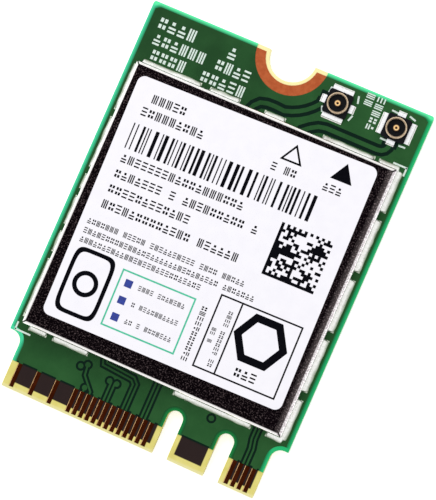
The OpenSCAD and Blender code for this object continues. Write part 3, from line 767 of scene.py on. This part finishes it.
open_triangle = [(2.39, 7.34), (4.06, 7.34), (3.22, 8.71)]
solid_triangle = [(6.22, 7.4), (7.85, 7.4), (7.04, 8.77)]
frame_low, frame_high = (2.25, -8.6), (8.56, -3.1)
frame_split = 3.88
frame_line = 0.12
work = bmesh.new()
loop_of_ink(work, laid(open_triangle), laid(shrunk(open_triangle, 0.14)),
            label_top)
slab(work, laid(solid_triangle), label_top)
outer = rectangle(*frame_low, *frame_high)
loop_of_ink(work, laid(outer), laid(inset(outer, frame_line)), label_top)
divider = rectangle(frame_split, frame_low[1] + frame_line,
                    frame_split + frame_line, frame_high[1] - frame_line)
slab(work, laid(divider), label_top)
hexagon_at = (6.12, -5.22)
hexagon_outer, hexagon_inner = 2.05, 1.42
turns = [math.radians(60 * k) for k in range(6)]
loop_of_ink(work, *[laid([(radius * math.cos(turn), radius * math.sin(turn)) for turn in turns],
                         *hexagon_at) for radius in (hexagon_outer, hexagon_inner)], label_top)
tile_at = (-7.06, -6.18)
tile_half, tile_line, tile_square = (1.6, 2.46), 0.3, 6
ring_outer_r, ring_inner_r = 0.95, 0.62
loop_of_ink(work, laid(ring_of(*tile_half, tile_square), *tile_at),
            laid(ring_of(tile_half[0] - tile_line, tile_half[1] - tile_line, tile_square), *tile_at),
            label_top)
loop_of_ink(work, laid(ring_of(ring_outer_r, ring_outer_r), *tile_at),
            laid(ring_of(ring_inner_r, ring_inner_r), *tile_at), label_top)
added_piece("label_marks", mesh_of(work, "label_marks"), ink)

# A square-cornered panel with a column of three squares and a hatched row beside each
panel = rectangle(-4.95, -8.4, 0.75, -4.1)
panel_line = 0.12
teal = Finish("teal_ink", srgb(56, 184, 146), srgb(76, 202, 162), 0.2, (0.5, 0.7))
work = bmesh.new()
loop_of_ink(work, laid(panel), laid(inset(panel, panel_line)), label_top)
added_piece("label_panel", mesh_of(work, "label_panel"), teal)

blue = Finish("blue_ink", srgb(18, 40, 132), srgb(30, 58, 156), 0.2, (0.5, 0.7))
square_x, square_side = -4.45, 0.56
row_start, row_end, row_h = -3.4, 0.3, 0.4
panel_rows = (-4.98, -6.25, -7.52)
work = bmesh.new()
for y in panel_rows:
    square = rectangle(square_x, y - square_side / 2, square_x + square_side, y + square_side / 2)
    slab(work, laid(square), label_top)
added_piece("label_blue_squares", mesh_of(work, "label_blue_squares"), blue)
work = bmesh.new()
for seed, y in enumerate(panel_rows, 40):
    add_row(work, ink, (row_start, y), (row_end, y), row_h, seed, label_top, on_label)
added_piece("label_panel_rows", mesh_of(work, "label_panel_rows"), ink)


# Antenna sockets: a sprung plated ring on tinned feet, a hollow centre post and a black moulded
# insulator, set down by machine and soldered.
foot_top = face_z + 0.13
socket_places = [(4.28, 13.18), (8.82, 13.18)]
bore_r, post_face_r = 0.1, 0.19
ring_inside_r = 0.635
groove = (0.665, 0.705)


def from_axis(tree, x, y):
    """Distance from the nearer socket's axis."""
    nearest = None
    for place in socket_places:
        across, along = maths(tree, "SUBTRACT", x, place[0]), maths(tree, "SUBTRACT", y, place[1])
        reach = distance(tree, across, along)
        nearest = reach if nearest is None else maths(tree, "MINIMUM", nearest, reach)
    return nearest


shell = Finish("socket_plating", srgb(196, 168, 134), srgb(232, 212, 184), 0.12, (0.25, 0.4),
               0.0, 1)
post = Finish("post_plating", srgb(246, 196, 122), srgb(255, 216, 150), 0.1, (0.3, 0.45), 0.0, 1)
for plating, metal in ((shell, 0.55), (post, 0.1)):
    tree = plating.tree
    x, y, z = plating.axes()
    above_foot = past(tree, z, foot_top)
    tinned = blend(tree, plating.noise, srgb(240, 240, 243), srgb(253, 253, 254))
    tone = plating.tone
    reach = from_axis(tree, x, y)
    # Painted shade: the post's bore is painted dark, and the chamfer round its face dark brown.
    if plating is post:
        tone = blend(tree, past(tree, reach, bore_r - 0.01, 0.01), srgb(44, 26, 8), tone)
        tone = blend(tree, past(tree, reach, post_face_r, 0.02), tone, srgb(84, 54, 26))
    else:
        # Painted shade: the groove in the ring's top is painted darker, and the ring's inside below
        # its top dark.
        tone = blend(tree, inside(tree, reach, *groove, 0.012), tone, srgb(120, 98, 76))
        tone = blend(tree, past(tree, reach, ring_inside_r, 0.012), srgb(70, 58, 50), tone)
    plating.colour(blend(tree, above_foot, tinned, tone))
    tree.links.new(ramp(tree, above_foot, 0.0, 1.0, 0.5, metal), plating.shader.inputs["Metallic"])
dress(shell, "socket_1_shell", "socket_2_shell")
dress(post, "socket_1_centre_contact", "socket_2_centre_contact")
moulding = Finish("black_moulding", srgb(4, 5, 10), srgb(14, 15, 22), 0.1, (0.4, 0.6), relief_um=2,
                  specular=0.1)
dress(moulding, "socket_1_insulator", "socket_2_insulator")


# Legend on the board: white ink screened over the green film. Its words are left out and plain
# blocks stand in their places; corner ticks frame the two sockets and the can.
legend = Finish("legend_ink", srgb(196, 222, 208), srgb(232, 240, 234), 0.12, (0.55, 0.7))
legend_rows = [
    ((-10.0, 13.65), (-6.35, 13.65), 1.0), ((-4.45, 13.6), (-3.6, 13.6), 1.0),
    ((-10.6, 12.42), (-5.1, 12.42), 0.92), ((-4.95, 12.45), (-1.6, 12.45), 0.92),
    ((-9.6, 11.3), (-6.35, 11.3), 0.92), ((-5.6, 11.28), (-1.3, 11.28), 0.92),
    ((6.24, 14.8), (6.24, 13.2), 0.68), ((7.05, 14.8), (7.05, 11.7), 0.68),
]
# Ticks as two ends
ticks = [
    ((3.36, 13.78), (3.4, 14.12)), ((5.46, 14.22), (5.56, 13.8)),
    ((3.3, 12.58), (3.42, 12.28)), ((5.56, 12.76), (5.44, 12.42)),
    ((8.08, 14.28), (8.46, 14.24)), ((9.42, 14.34), (9.8, 14.22)),
    ((8.08, 12.12), (8.44, 12.12)), ((9.5, 12.12), (9.88, 12.14)),
    ((9.65, 10.86), (10.6, 10.86)), ((10.62, 10.82), (10.62, 10.3)),
    ((-10.62, -10.86), (-9.5, -10.86)), ((-10.64, -10.82), (-10.64, -10.35)),
]
tick_w = 0.13
work = bmesh.new()
for seed, (start, end, height) in enumerate(legend_rows):
    add_row(work, legend, start, end, height, 60 + seed, face_z, lambda x, y: Vector((x, y)))
for start, end in ticks:
    along = (Vector(end) - Vector(start)).normalized() * tick_w / 2
    side = Vector((-along.y, along.x))
    a, b = Vector(start) - along, Vector(end) + along
    slab(work, [a - side, b - side, b + side, a + side], face_z)
added_piece("board_legend", mesh_of(work, "board_legend"), legend)


# Parts under the can: moulded chips, ceramic filters and small parts. They show only when the
# can is taken off.
package = Finish("chip_moulding", srgb(24, 24, 27), srgb(36, 36, 40), 0.2, (0.5, 0.7), relief_um=4)
dress(package, "radio_chip", "front_end_modules", "memory_chip", "resistors")
ceramic = Finish("pale_ceramic", srgb(186, 164, 130), srgb(214, 196, 160), 0.2, (0.5, 0.65))
dress(ceramic, "band_filters", "capacitors")
lid = Finish("crystal_lid", srgb(186, 184, 178), srgb(210, 208, 202), 0.15, (0.25, 0.4), 1.0, 2)
dress(lid, "crystal")
ferrite = Finish("grey_ferrite", srgb(70, 70, 74), srgb(92, 92, 96), 0.12, (0.6, 0.8), relief_um=6)
dress(ferrite, "power_inductor")
